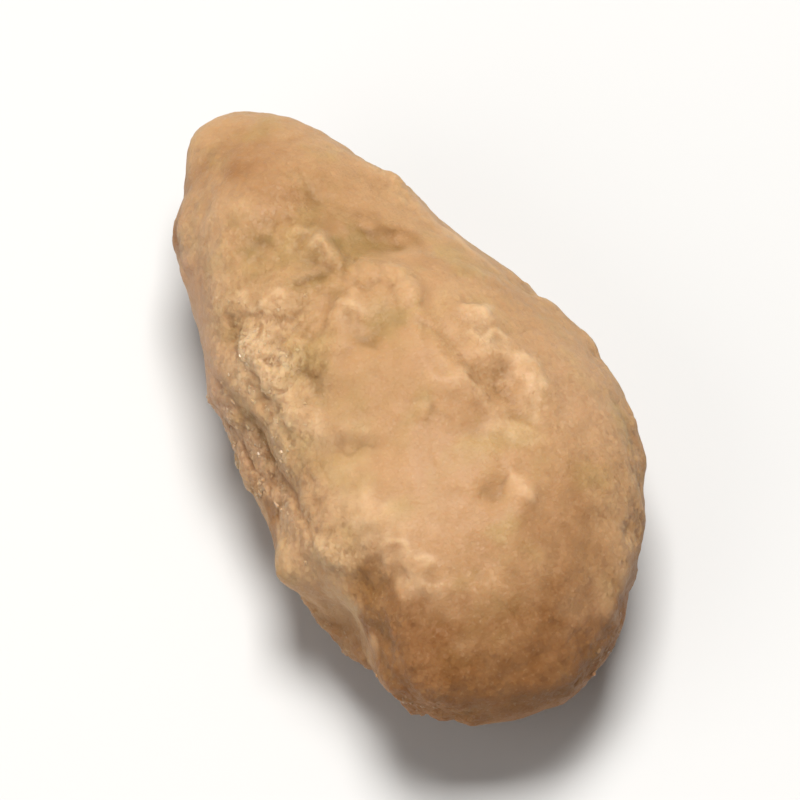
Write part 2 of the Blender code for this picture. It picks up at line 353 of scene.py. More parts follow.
def closed_grid(cells):
    """Unit directions and four-sided faces of a block of cells that is blown up to a sphere. The
    tangent of an even angle places the points, so that the cells come out alike in size."""
    places, faces, count = [], [], 0
    for axis, side in itertools.product(range(3), (0, 1)):
        first, second = (axis + 1) % 3, (axis + 2) % 3
        u, v = np.mgrid[0:cells[first] + 1, 0:cells[second] + 1]
        place = np.empty(u.shape + (3,), dtype=int)
        place[..., axis] = side * cells[axis]
        place[..., first] = u
        place[..., second] = v
        number = count + np.arange(u.size).reshape(u.shape)
        ring = [number[:-1, :-1], number[1:, :-1], number[1:, 1:], number[:-1, 1:]]
        faces.append(np.stack(ring if side else ring[::-1], axis=-1).reshape(-1, 4))
        places.append(place.reshape(-1, 3))
        count += u.size
    merged, where = np.unique(np.concatenate(places), axis=0, return_inverse=True)
    directions = np.tan(0.25 * math.pi * (2.0 * merged / np.array(cells) - 1.0))
    return unit(directions), where.ravel()[np.concatenate(faces)]


directions, coat_faces = closed_grid(CELLS)
print(f"{len(directions)} points and {2 * len(coat_faces)} triangles in the coat")

# %% The coat with its main relief
plain = teardrop(directions)
rough = crust(plain)
relief = sugar_height(plain, directions, rough)
coat = plain + outward(directions) * relief[:, None]
low, high = coat.min(axis=0), coat.max(axis=0)
size = np.array((WIDTH, LENGTH, HEIGHT + FLAT_CUT))
coat = (coat - 0.5 * (low + high)) * size / (high - low)
coat[:, 2] = np.maximum(coat[:, 2] + 0.5 * size[2] - FLAT_CUT, 0.0)
print("main relief from", relief.min().round(2), "to", relief.max().round(2), "mm")


def mesh_object(name, points, faces, smooth):
    """An object at the origin whose mesh has these points, in millimetres, and these faces."""
    mesh = bpy.data.meshes.new(name)
    mesh.from_pydata(MM * points, [], faces)
    mesh.validate()
    if smooth:
        mesh.shade_smooth()
    piece = bpy.data.objects.new(name, mesh)
    bpy.context.scene.collection.objects.link(piece)
    return piece


def point_normals(points, faces):
    """Unit normals at the points: the cross products of each face's diagonals, added up."""
    a, b, c, d = (points[faces[:, k]] for k in range(4))
    across = np.cross(c - a, d - b)
    normals = np.zeros_like(points)
    for k in range(4):
        np.add.at(normals, faces[:, k], across)
    return unit(normals)


# %% [markdown]
# ## The fine crust
#
# Close up, the rough sugar is grains fused side by side, with angular tops and dark seams. Such
# a pattern comes from scattered centres: each point of the surface belongs to the centre that is
# nearest, stands highest in its middle, and slopes the way of that centre's own facet. Two
# sizes of grain, bubble pits and a faint orange peel on the melted sugar make the fine relief.

# %% Fused grains, creases and bubbles
Grain = namedtuple("Grain", "spacing height tilt seed")
CLUSTERS = Grain(0.95, 0.032, 0.06, 31)
GRAINS = Grain(0.38, 0.022, 0.12, 32)
RIDGES = Waves(1.25, 0.030, 36)
PEEL = Waves(0.85, 0.010, 34)
FINE_WARP = Waves(0.9, 0.10, 35)
DRAWS = 8191             # rows in the table of random numbers
STRIDES = np.array((73856093, 19349663, 83492791))  # they spread the cubes over the rows


def nearest_centre(points, spacing, seed):
    """Offset from the nearest of the jittered centres, one to a cube of this spacing, and the
    three random numbers from 0 to 1 that belong to it."""
    table = np.random.default_rng(seed).random((DRAWS, 6))
    cubes = np.floor(points / spacing).astype(np.int64)
    best = np.full(len(points), np.inf)
    offset = np.zeros_like(points)
    own = np.zeros_like(points)
    for step in itertools.product((-1, 0, 1), repeat=3):
        cube = cubes + step
        row = table[(cube * STRIDES).sum(axis=1) % DRAWS]
        gap = points - (cube + row[:, :3]) * spacing
        away = (gap ** 2).sum(axis=1)
        closer = away < best
        best[closer] = away[closer]
        offset[closer] = gap[closer]
        own[closer] = row[closer, 3:]
    return offset, own


def grain_height(points, grain):
    """Angular tops side by side: 1 - distance squared, plus a slope of each grain's own."""
    offset, own = nearest_centre(points, grain.spacing, grain.seed)
    top = 1.0 - (offset ** 2).sum(axis=1) / grain.spacing ** 2
    slope = (offset * (2.0 * own - 1.0)).sum(axis=1)
    return grain.height * top + grain.tilt * slope


Bubbles = namedtuple("Bubbles", "spacing smallest largest share depth rim seed")
BURST = Bubbles(1.9, 0.30, 0.62, 0.45, 0.08, 0.25, 37)
PINHOLES = Bubbles(0.95, 0.13, 0.26, 0.45, 0.04, 0.0, 38)
RIM_REACH = 1.6          # where the rim is level again, in radii from the middle


def bubble_height(points, bubbles):
    """Pits of burst bubbles: a bowl, 1 - distance squared, with a low rim raised round it."""
    offset, own = nearest_centre(points, bubbles.spacing, bubbles.seed)
    radius = bubbles.smallest + (bubbles.largest - bubbles.smallest) * own[:, 0]
    away = np.sqrt((offset ** 2).sum(axis=1)) / radius
    bowl = -np.clip(1.0 - away ** 2, 0.0, 1.0)
    rim = bubbles.rim * np.clip(1.0 - ((away - 1.0) / (RIM_REACH - 1.0)) ** 2, 0.0, 1.0)
    return bubbles.depth * (own[:, 1] < bubbles.share) * (bowl + rim) * radius / bubbles.largest


# %% Thin ridges and pocks placed one by one
# The last number of these marks, and of all that follow, is a strength and not a rise.
STROKES = {
    "edge of the neck": Mark(5.0, 3.9, 1.6, 0.35, 111.0, 1.0),
    "end of the cap": Mark(-0.2, 5.1, 0.7, 0.25, 114.0, 0.9),
    "top of the left flank": Mark(-3.1, 4.1, 0.9, 0.25, 144.0, 0.9),
    "pale knob of the left flank": Mark(-4.4, 3.0, 0.45, 0.35, 100.0, 1.0),
    "first ridge of the left flank": Mark(-3.7, 1.8, 0.95, 0.22, 97.0, 0.9),
    "second ridge of the left flank": Mark(-3.2, 0.7, 0.95, 0.22, 101.0, 0.8),
    "third ridge of the left flank": Mark(-4.5, 0.9, 1.0, 0.25, 106.0, 0.9),
    "small knob of the middle": Mark(-0.3, 2.0, 0.5, 0.25, 131.0, 0.8),
    "upper knob on the right": Mark(3.8, -0.2, 0.6, 0.28, -25.0, 1.0),
    "lower knob on the right": Mark(3.2, -1.4, 0.6, 0.28, -12.0, 1.0),
    "ridge right of the groove": Mark(4.0, -3.3, 1.0, 0.35, 95.0, 1.0),
    "ridge left of the groove": Mark(1.8, -3.2, 1.1, 0.25, 110.0, 0.9),
    "foot of the groove": Mark(2.5, -5.2, 0.8, 0.30, 133.0, 0.8),
    "knob by the belly's pit": Mark(1.5, -7.2, 0.45, 0.30, -16.0, 0.8),
    "lobe of the belly": Mark(-4.2, -5.0, 1.2, 0.50, 124.0, 0.9),
    "upper arc of the hollow": Mark(-3.9, -6.8, 0.7, 0.25, 145.0, 1.0),
    "lower arc of the hollow": Mark(-3.3, -8.2, 0.8, 0.25, 98.0, 1.0),
    "inner arc of the hollow": Mark(-4.1, -8.0, 0.5, 0.20, 117.0, 0.8),
    "left lip of the hollow": Mark(-5.8, -5.0, 0.6, 0.30, 99.0, 0.9),
    "crystals of the round end": Mark(1.1, -12.0, 0.5, 0.30, 11.0, 0.8),
    "crystals of the right rim": Mark(2.4, -12.1, 0.7, 0.35, 30.0, 0.9),
}
POCKS = {
    "under the cap's rim": Mark(2.5, 4.8, 0.8, 0.40, -29.0, 0.8),
    "side of the cap": Mark(-2.2, 6.7, 0.45, 0.40, 87.0, 0.6),
    "middle of the cap": Mark(0.7, 7.2, 0.45, 0.32, 120.0, 0.5),
    "neck": Mark(-1.1, 4.2, 0.45, 0.30, 5.0, 0.8),
    "rim of the tip": Mark(-4.0, 6.8, 0.45, 0.30, 130.0, 0.3),
    "top of the left flank": Mark(-4.2, 4.6, 0.55, 0.35, 132.0, 0.6),
    "between the ridges": Mark(-3.4, 2.4, 0.45, 0.22, 86.0, 0.7),
    "beside the ridges": Mark(-3.0, 0.7, 0.90, 0.32, 84.0, 0.9),
    "low on the left flank": Mark(-5.6, 1.0, 0.80, 0.45, 88.0, 0.8),
    "middle": Mark(-0.5, 0.6, 0.45, 0.28, 107.0, 0.6),
    "below the middle": Mark(-0.3, -3.1, 0.40, 0.32, 112.0, 0.7),
    "beside the left ridge": Mark(0.4, -3.7, 0.38, 0.25, 118.0, 0.5),
    "groove on the right": Mark(2.8, -3.1, 1.1, 0.28, 93.0, 0.5),
    "crease": Mark(-3.3, -2.6, 1.0, 0.18, 142.0, 0.6),
    "belly": Mark(0.7, -6.8, 0.50, 0.28, 7.0, 0.6),
    "hollow": Mark(-5.1, -7.2, 0.60, 0.32, -35.0, 0.5),
    "tail of the hollow": Mark(-5.3, -8.7, 0.80, 0.45, 80.0, 1.0),
    "corner below the hollow": Mark(-5.6, -9.6, 0.80, 0.40, 95.0, 0.8),
    "low on the round end": Mark(-2.3, -12.4, 0.90, 0.25, -25.0, 0.4),
    "rim of the round end": Mark(-0.6, -14.0, 3.0, 0.60, 0.0, 0.8),
}
STROKE_HEIGHT = 0.09      # millimetres, for a stroke of strength 1
POCK_DEPTH = 0.06
MARK_WARP = Waves(1.1, 0.22, 39)

# %% The fine relief
ROUGHER = {
    "left flank": Mark(-4.3, 2.6, 3.6, 1.7, 97.0, 0.42),
    "right of the middle": Mark(3.2, -2.0, 2.6, 1.2, 93.0, 0.14),
    "hollow": Mark(-5.0, -8.0, 2.2, 1.0, 108.0, 0.34),
    "left rim": Mark(-6.6, -2.0, 4.5, 1.0, 93.0, 0.34),
    "right rim of the round end": Mark(3.4, -12.6, 1.6, 0.8, 35.0, 0.60),
}
CALMER = {
    "middle": Mark(-0.8, -0.6, 3.4, 2.2, 95.0, -0.30),
    "waist": Mark(-3.4, -3.0, 2.4, 1.7, 93.0, -0.30),
    "belly": Mark(-1.0, -6.4, 3.0, 3.0, 0.0, -0.30),
    "left rim of the tip": Mark(-4.6, 7.4, 2.0, 1.2, 93.0, -0.25),
    "neck": Mark(1.0, 3.2, 2.4, 1.6, -29.0, -0.20),
}
CRYSTALLINE_BASE = 0.22   # how crystalline melted sugar is, of 1, away from these zones
CRYSTALLINE_REACH = 0.34
CRYSTALLINE_RANGE = (0.08, 1.0)
UNDERSIDE_EDGE = (-0.2, 0.4)
UNDERSIDE_ROUGHER = 0.35  # the underside dried first, and stayed rougher

normals = point_normals(coat, coat_faces)
uneven = warped(coat, FINE_WARP)
uneven_plain = warped(plain, MARK_WARP)
zones = mark_height(plain, ROUGHER) + mark_height(plain, CALMER)
zones += UNDERSIDE_ROUGHER * rough * smooth_step(UNDERSIDE_EDGE, -directions[:, 2])
crystalline = np.clip(CRYSTALLINE_BASE + CRYSTALLINE_REACH * rough + zones, *CRYSTALLINE_RANGE)
strokes = mark_height(uneven_plain, STROKES)
pocks = mark_height(uneven_plain, POCKS)

fine = crystalline * grain_height(uneven, CLUSTERS)
fine += crystalline * grain_height(uneven, GRAINS)
fine -= crystalline * RIDGES.height * np.abs(wave_height(uneven, RIDGES))
fine += crystalline ** 2 * bubble_height(uneven, BURST)
fine += crystalline * bubble_height(uneven, PINHOLES)
fine += PEEL.height * wave_height(coat, PEEL)
fine += STROKE_HEIGHT * strokes - POCK_DEPTH * pocks
fine *= relief_kept(directions)
coat = coat + normals * fine[:, None]
coat[:, 2] = np.maximum(coat[:, 2], 0.0)
print("fine relief from", fine.min().round(3), "to", fine.max().round(3), "mm")

sugar_coat = mesh_object("sugar_coat", coat, coat_faces, smooth=True)

# %% [markdown]
# ## What the finish needs to know
#
# Some colour follows the shape: painted shade browns the seams and hollows, raised tops are
# paler, and melted sugar is glossier. Browning, pale places and tints don't follow the shape, so
# they are listed mark by mark; the browning and the olive in pits and recesses are partly painted
# shade, the pale marks partly painted light and the rose on the rims partly painted rim light.
# All of it is known here, while the points are at hand, and is kept on the mesh as attributes
# that the material reads.

# %% Attributes of the coat
SMOOTHINGS = {"seam": 6, "hollow": 120}  # the more rounds, the wider the ring that is averaged


def neighbour_mean(values, faces, times):
    """Values smoothed over the mesh: each point takes the mean of its faces' means, some times."""
    share = np.bincount(faces.ravel(), minlength=len(values))
    for _ in range(times):
        means = values[faces].mean(axis=1)
        values = np.bincount(faces.ravel(), np.repeat(means, 4), len(values)) / share
    return values


height = relief + fine
small_rise = height - neighbour_mean(height, coat_faces, SMOOTHINGS["seam"])
broad_rise = height - neighbour_mean(height, coat_faces, SMOOTHINGS["hollow"])

# Browning that is partly painted shade: most of these marks darken the rims, the hollows, the
# round end and the tip where shade falls, and the one with a negative strength lightens a shaded
# shelf with painted light.
TOAST_AND_PAINTED_SHADE = {
    "hollow": Mark(-5.1, -7.2, 0.8, 0.45, -35.0, 0.35),
    "tail of the hollow": Mark(-5.3, -8.7, 1.0, 0.7, 80.0, 1.00),
    "shelf below the hollow": Mark(-6.7, -6.2, 2.0, 0.9, 93.0, -0.60),
    "left of the round end": Mark(-5.0, -9.9, 1.8, 1.1, 70.0, 0.75),
    "left rim below the waist": Mark(-6.9, -3.4, 3.0, 0.6, 93.0, 0.60),
    "round end": Mark(-4.4, -13.4, 4.2, 3.2, -28.0, 1.00),
    "rim of the round end": Mark(-0.6, -14.0, 4.5, 0.9, 0.0, 0.80),
    "lower right": Mark(5.2, -11.4, 3.6, 1.0, 60.0, 0.30),
    "rim of the right bulge": Mark(7.6, -7.0, 3.6, 1.3, 80.0, 0.40),
    "right of the belly": Mark(2.9, -8.6, 1.6, 1.1, 80.0, 0.24),
    "middle of the round end": Mark(-1.6, -11.0, 2.6, 1.5, -29.0, 0.14),
    "under the cap's rim": Mark(2.4, 4.7, 1.2, 0.7, -29.0, 0.55),
    "cap of the tip": Mark(-0.1, 9.2, 2.8, 2.0, 90.0, 0.40),
    "left edge of the tip": Mark(-3.6, 10.6, 1.6, 1.0, 75.0, 0.60),
}
# Olive darkening laid in pits, grooves and recesses, partly painted shade.
OLIVE_AND_SHADE_SPOTS = {
    "low on the left flank": Mark(-5.6, 1.1, 1.4, 0.7, 93.0, 0.8),
    "top of the left flank": Mark(-4.2, 4.6, 0.9, 0.5, 110.0, 0.6),
    "under the cap's rim": Mark(1.3, 4.9, 1.3, 0.7, -29.0, 0.8),
    "side of the cap": Mark(-2.1, 6.6, 0.9, 0.7, 87.0, 0.85),
    "below the side of the cap": Mark(-2.6, 5.8, 0.9, 0.6, 60.0, 0.60),
    "middle of the cap": Mark(0.8, 7.2, 0.9, 0.7, 100.0, 0.70),
    "pit in the neck": Mark(-1.2, 4.2, 1.1, 0.7, 0.0, 0.80),
    "beside the ridges": Mark(-3.1, 0.6, 1.3, 0.7, 75.0, 0.90),
    "pit of the middle": Mark(-0.3, 0.9, 1.1, 0.8, -29.0, 0.50),
    "neck": Mark(0.8, 4.1, 1.6, 1.2, 20.0, 0.45),
    "middle": Mark(-1.2, -1.2, 1.8, 1.4, 93.0, 0.22),
    "hollow": Mark(-5.4, -7.2, 1.5, 0.9, -50.0, 0.30),
}
# A faint rose on the rims, partly painted rim light and partly a tint of the sugar.
ROSY_RIM_LIGHT = {
    "left edge of the tip": Mark(-3.6, 10.4, 1.6, 1.0, 75.0, 0.6),
    "left rim of the tip": Mark(-4.2, 8.2, 1.6, 1.2, 90.0, 0.6),
    "left rim": Mark(-5.4, 4.0, 3.2, 1.5, 93.0, 1.0),
    "left rim of the waist": Mark(-6.3, -1.2, 2.6, 1.0, 93.0, 0.6),
    "rim below the nub": Mark(-6.6, -6.4, 2.6, 0.9, 93.0, 0.25),
    "right bulge": Mark(5.7, -4.3, 2.2, 1.4, 93.0, 0.4),
    "lower right": Mark(1.2, -12.3, 1.8, 0.9, 10.0, 0.5),
}
# Pale sugar, partly painted light: these marks lighten lit knobs and ridges and brighten places
# that the relief leaves in shade, and some are pale crystals.
PALE_AND_PAINTED_LIGHT = {
    "right edge of the cap": Mark(3.5, 7.9, 2.6, 0.7, 105.0, 0.35),
    "left side of the cap": Mark(-3.1, 7.8, 1.4, 1.0, 75.0, 0.50),
    "left flank": Mark(-4.2, 2.0, 2.8, 1.4, 100.0, 0.22),
    "knob under the dimple": Mark(0.0, 5.1, 0.6, 0.5, -29.0, 0.60),
    "left rim of the flank": Mark(-5.4, 3.4, 2.6, 0.9, 97.0, 0.10),
    "beside the neck": Mark(-4.0, 5.8, 0.7, 0.6, 75.0, 0.50),
    "first patch of the left flank": Mark(-3.5, 3.4, 0.8, 0.5, -20.0, 0.60),
    "second patch of the left flank": Mark(-4.6, 2.4, 1.0, 0.8, 95.0, 0.70),
    "third patch of the left flank": Mark(-4.4, 0.9, 1.0, 0.4, 105.0, 0.75),
    "waist": Mark(-4.0, -1.5, 2.0, 1.3, 93.0, 0.55),
    "swelling of the waist": Mark(-3.4, -1.5, 1.0, 0.5, -29.0, 0.35),
    "left of the waist": Mark(-5.8, -0.9, 1.2, 0.6, 93.0, 0.50),
    "lobe of the belly": Mark(-4.1, -5.2, 1.7, 1.2, -35.0, 0.60),
    "arc of the hollow": Mark(-3.6, -8.3, 1.0, 0.6, 102.0, 0.85),
    "shelf below the hollow": Mark(-6.3, -6.2, 1.6, 0.7, 93.0, 0.75),
    "left lip of the hollow": Mark(-5.9, -5.0, 0.7, 0.5, 93.0, 0.40),
    "right bulge": Mark(5.7, -5.0, 2.2, 1.5, 93.0, 0.32),
    "knobs on the right": Mark(3.5, -0.8, 1.8, 0.8, 93.0, 0.65),
    "ridge by the groove": Mark(3.9, -3.6, 1.4, 0.7, 93.0, 0.15),
    "lower right": Mark(1.0, -12.2, 2.0, 0.9, 20.0, 0.60),
    "crystals at the round end": Mark(2.4, -11.9, 1.2, 0.6, 20.0, 0.5),
}
# Painted shade on the underside: the more the surface faces down, the darker it is painted.
UNDERSIDE_SHADE_EDGE = (0.10, 0.60)
UNDERSIDE_PAINTED_SHADE = 0.50  # painted shade on the side that faces down
underside = smooth_step(UNDERSIDE_SHADE_EDGE, -outward(directions)[:, 2])

attributes = {
    "crystalline": crystalline,
    "small_rise": small_rise,
    "broad_rise": broad_rise,
    # Browning, partly painted shade, plus painted shade on the side that faces down.
    "toast_and_painted_shade": mark_height(uneven_plain, TOAST_AND_PAINTED_SHADE) + UNDERSIDE_PAINTED_SHADE * underside,
    # Olive in pits and recesses, partly painted shade.
    "olive_and_shade": mark_height(uneven_plain, OLIVE_AND_SHADE_SPOTS),
    # Rose on the rims, partly painted rim light.
    "rosy_rim_light": mark_height(uneven_plain, ROSY_RIM_LIGHT),
    # Pale marks and the thin ridges, partly painted light.
    "pale_and_painted_light": mark_height(uneven_plain, PALE_AND_PAINTED_LIGHT) + strokes,
    "pock": pocks,
}


def keep_attributes(piece, values_by_name):
    """Store one number per point of the piece under each name, held between -1 and 1."""
    for name, values in values_by_name.items():
        attribute = piece.data.attributes.new(name, "FLOAT", "POINT")
        attribute.data.foreach_set("value", np.clip(values, -1.0, 1.0).astype(np.float32))


keep_attributes(sugar_coat, attributes)
for name, values in attributes.items():
    low, middle, high = np.percentile(values, (5, 50, 95))
    print(f"{name:12} {low:+.3f} {middle:+.3f} {high:+.3f}")

# %% [markdown]
# ## Loose crystals
#
# Some crystals never fused. They lie on the crust as small blocks with flat sides, a tenth to a
# third of a millimetre across and about as long. Modelling them in the coat would need a far
# finer grid, so they are a piece of their own: one faceted block, repeated, each with its own
# size and turn, sunk more than half way into the sugar and coloured as the sugar under it.

# %% Scatter the crystals
CRYSTALS = 1000
CRYSTAL_HALF_WIDTH = (0.06, 0.15)   # in millimetres
CRYSTAL_FLATNESS = (0.7, 1.0)       # how thick it is for its width
CRYSTAL_STRETCH = (0.8, 1.3)        # how many times longer than wide
CRYSTAL_SINK = (0.50, 1.00)         # how deep its middle sits, in half widths
CRYSTAL_LIFT = 0.40                 # how much of a random lean out of the coat is kept
CRYSTAL_BED = 0.42                  # they grew only where the sugar is more crystalline than this
CRYSTAL_CLEARANCE = 0.5             # nearer the table than this, in millimetres, they get rarer
CRYSTAL_PALE_GAIN = 1.5             # the most that the pale and painted-light marks add to how densely they lie
CRYSTAL_CLUSTERS = Waves(1.6, 0.9, 42)
CRYSTAL_SEED = 41
BEVEL = 0.72                        # how wide the ends are, and where the bevels begin, of 1
RING = 6


def crystal_block():
    """A six-sided block with bevelled ends: four rings of six points and the faces between."""
    turn = math.tau * np.arange(RING) / RING
    rings = [
        np.column_stack((scale * np.cos(turn), scale * np.sin(turn), np.full(RING, end)))
        for scale, end in ((BEVEL, -1.0), (1.0, -BEVEL), (1.0, BEVEL), (BEVEL, 1.0))
    ]
    here = np.arange(RING)
    following = (here + 1) % RING
    sides = [
        np.column_stack((here, following, following + RING, here + RING)) + RING * band
        for band in range(3)
    ]
    cap = np.array([[0, 1, 2, 3], [0, 3, 4, 5]])
    return np.concatenate(rings), np.concatenate(sides + [cap[:, ::-1], cap + 3 * RING])


def lying_axes(draw, ways_out):
    """Three square axes for each crystal. The last is its long axis: a random direction with
    most of its lean out of the coat taken away. The other two turn freely round it."""
    along = random_directions(draw, len(ways_out))
    lean = (along * ways_out).sum(axis=1, keepdims=True)
    along = unit(along - (1.0 - CRYSTAL_LIFT) * lean * ways_out)
    side = unit(np.cross(along, random_directions(draw, len(ways_out))))
    return np.stack((side, np.cross(along, side), along), axis=1)


def scatter(draw, count, weight):
    """Places on the coat and the way out of it, one for each of so many seeded draws. Faces
    are drawn by their area times the weight of their points."""
    a, b, c, d = (coat[coat_faces[:, k]] for k in range(4))
    across = np.cross(c - a, d - b)
    area = np.linalg.norm(across, axis=1)
    chance = area * weight[coat_faces].mean(axis=1)
    chosen = draw.choice(len(coat_faces), count, p=chance / chance.sum())
    u, v = draw.random((2, count, 1))
    first = (1 - v) * a[chosen] + v * d[chosen]
    second = (1 - v) * b[chosen] + v * c[chosen]
    places = (1 - u) * first + u * second
    return places, across[chosen] / area[chosen, None], chosen


draw = np.random.default_rng(CRYSTAL_SEED)
clear_of_the_table = np.clip(coat[:, 2] / CRYSTAL_CLEARANCE, 0.0, 1.0)
crystal_weight = clear_of_the_table * np.maximum(crystalline - CRYSTAL_BED, 0.0)
crystal_weight *= np.exp(CRYSTAL_CLUSTERS.height * wave_height(coat, CRYSTAL_CLUSTERS))
crystal_weight *= 1.0 + np.clip(attributes["pale_and_painted_light"], 0.0, CRYSTAL_PALE_GAIN)
places, ways_out, chosen = scatter(draw, CRYSTALS, crystal_weight)
block_points, block_faces = crystal_block()
half_widths = CRYSTAL_HALF_WIDTH[0] + np.ptp(CRYSTAL_HALF_WIDTH) * draw.random(CRYSTALS) ** 2
sizes = np.ones((CRYSTALS, 3))
sizes[:, 1] = draw.uniform(*CRYSTAL_FLATNESS, CRYSTALS)
sizes[:, 2] = draw.uniform(*CRYSTAL_STRETCH, CRYSTALS)
shapes = block_points[None] * (sizes * half_widths[:, None])[:, None]
shapes = shapes @ lying_axes(draw, ways_out)
sunk = places - ways_out * (half_widths * draw.uniform(*CRYSTAL_SINK, CRYSTALS))[:, None]
crystal_points = (shapes + sunk[:, None]).reshape(-1, 3)
crystal_points[:, 2] = np.maximum(crystal_points[:, 2], 0.0)
first_points = len(block_points) * np.arange(CRYSTALS)[:, None, None]
crystal_faces = (block_faces + first_points).reshape(-1, 4)
sugar_crystals = mesh_object("sugar_crystals", crystal_points, crystal_faces, smooth=False)
under = np.repeat(coat_faces[chosen, 0], len(block_points))
keep_attributes(sugar_crystals, {name: values[under] for name, values in attributes.items()})
print(f"{CRYSTALS} crystals, {2 * len(crystal_faces)} triangles")

# %% [markdown]
# ## Writing a finish as sums
#
# A material is a web of nodes, and most of its nodes do arithmetic. It is easier to read as an
# expression, so one small class wraps a node's output: adding or multiplying two of them adds
# the Math node that does it. Every other node comes from one function.

# %% Arithmetic on sockets


class Flow:
    """What a node gives out, different at each point of the surface. Only numbers take sums,
    because a Math node would turn a colour grey."""

    def __init__(self, socket):
        self.socket = socket

    def math(self, operation, *others):
        """The result of a Math node that takes this number first."""
        settings = {"operation": operation}
        return add_node(self.socket.id_data, "ShaderNodeMath", settings, (self, *others))[0]

    def __add__(self, other):
        return self.math("ADD", other)

    def __sub__(self, other):
        return self.math("SUBTRACT", other)

    def __rsub__(self, other):
        return self.math("MULTIPLY", -1.0) + other

    def __mul__(self, other):
        return self.math("MULTIPLY", other)

    __radd__ = __add__
    __rmul__ = __mul__

    def step(self, low, high):
        """Rise smoothly from 0 where this number is low to 1 where it is high."""
        settings = {"interpolation_type": "SMOOTHSTEP"}
        values = (self, low, high, 0.0, 1.0)
        return add_node(self.socket.id_data, "ShaderNodeMapRange", settings, values)[0]


def add_node(tree, kind, settings, values):
    """Add a node, set its settings and then its sockets, by their order or by their number or
    name, each from a value or from another node's output. Returns its outputs."""
    node = tree.nodes.new(kind)
    for name, setting in settings.items():
        setattr(node, name, setting)
    sockets = values.items() if isinstance(values, dict) else enumerate(values)
    for key, value in sockets:
        if isinstance(value, Flow):
            tree.links.new(value.socket, node.inputs[key])
        else:
            node.inputs[key].default_value = value
    return [Flow(output) for output in node.outputs]


# Sockets by their number in the node's own list, where several have the same name
MIX_SHARE, MIX_UNDER, MIX_OVER = 0, 6, 7
MIX_COLOUR = 2


def mixed(tree, share, under, over):
    """One colour with another laid over it by this share."""
    values = {MIX_SHARE: share, MIX_UNDER: under, MIX_OVER: over}
    return add_node(tree, "ShaderNodeMix", {"data_type": "RGBA"}, values)[MIX_COLOUR]


def finish_of(name, colour, sockets):
    """A material whose Principled shader has these constant values, and its tree and shader."""
    material = bpy.data.materials.new(name)
    material.use_nodes = True
    material.diffuse_color = colour
    shader = material.node_tree.nodes["Principled BSDF"]
    shader.inputs["Base Color"].default_value = colour
    for socket, value in sockets.items():
        shader.inputs[socket].default_value = value
    return material, material.node_tree, shader


# %% [markdown]
# ## The finish of the coat
#
# Boiled sugar is never one colour. Dry crystals are a warm tan, painted shade browns the seams
# between them and the hollows, raised tops are paler, and the underside is darkened with painted
# shade. Browning, partly painted shade, darkens the rims and the round end. Here and there the
# tan leans to peach or honey, olive darkens pits and recesses in part as painted shade, and the
# rims take a faint rose that is partly painted rim light. Both pieces are the same sugar, so one
# function gives the colour of both.

# %% Colours
# Linear red, green and blue, and an alpha of 1.
TAN = (0.530, 0.322, 0.154, 1.0)
MELTED_TAN = (0.518, 0.293, 0.137, 1.0)
PEACH = (0.590, 0.330, 0.165, 1.0)
HONEY = (0.495, 0.318, 0.132, 1.0)
# Brown for random browned patches, for the browning that is partly painted shade, and for the
# painted shade in seams.
BROWN = (0.235, 0.088, 0.020, 1.0)
SHADE_BROWN = (0.190, 0.090, 0.026, 1.0)
# Cream for raised tops, for the pale marks that are partly painted light, for speckles and for the
# crystals.
CREAM = (0.730, 0.495, 0.285, 1.0)
# Rose for the rims, partly painted rim light.
RIM_LIGHT_ROSE = (0.500, 0.290, 0.175, 1.0)
# Olive for pits and recesses, partly painted shade.
OLIVE = (0.300, 0.188, 0.062, 1.0)
# The colour of the painted shade in hollows.
HOLLOW_SHADE_BROWN = (0.345, 0.175, 0.055, 1.0)

# %% Where each colour begins and how much of it is laid over
Noise = namedtuple("Noise", "span detail")
PATCHES = Noise(3.4, 3.0)
TINTS = Noise(2.1, 2.0)
MOTTLE = Noise(0.7, 4.0)
SPECKLE = Noise(0.16, 2.0)

# Painted shade in seams and hollows, where the sugar lies lower than these heights:
SEAM_SHADE_EDGE = (-0.045, 0.010)      # millimetres above the sugar close by
HOLLOW_SHADE_EDGE = (-0.30, 0.02)      # and above the sugar further round
TOP_EDGE = (0.02, 0.22)
PATCH_EDGE = (0.52, 0.75)
TINT_EDGE = (0.50, 0.72)
PALE_AND_LIGHT_EDGE = (0.10, 0.85)
OLIVE_AND_SHADE_EDGE = (0.10, 0.80)
POCK_EDGE = (0.15, 1.2)
SPECKLE_EDGE = (0.60, 0.75)

PEACH_SHARE = 0.15
HONEY_SHARE = 0.7
PATCH_SHARE = 0.22
TOP_SHARE = 0.30
PALE_AND_PAINTED_LIGHT_SHARE = 0.70
ROSY_RIM_LIGHT_SHARE = 0.75
HOLLOW_SHADE_SHARE = 0.30
OLIVE_AND_SHADE_SHARE = 0.8
POCK_SHARE = 0.55
SPECKLE_SHARE = 0.12
# The browning, which is partly painted shade:
TOAST_AND_SHADE_GAIN = 1.3
TOAST_AND_SHADE_PATCHES = 0.8              # how far the patches break up the browning and painted shade
TOAST_AND_SHADE_START = 0.4
BROWNED_AND_SHADED_SHARE = (0.55, 0.5)      # the least, and what the mottle adds
SEAM_SHADE_SHARE = (0.10, 0.35)        # on melted sugar, and what dry crystals add

# %% The sugar's colour
MIDDLE_GREY = (0.5, 0.5, 0.5)
OBJECT_OUTPUT = 3        # of the Texture Coordinate node
NUMBER_OUTPUT = 2        # of the Attribute node


def place_on_object(tree):
    """Where each point lies on its own object, in metres."""
    return add_node(tree, "ShaderNodeTexCoord", {}, ())[OBJECT_OUTPUT]


def kept_number(tree, name):
    """The number that the mesh keeps under this name."""
    return add_node(tree, "ShaderNodeAttribute", {"attribute_name": name}, ())[NUMBER_OUTPUT]


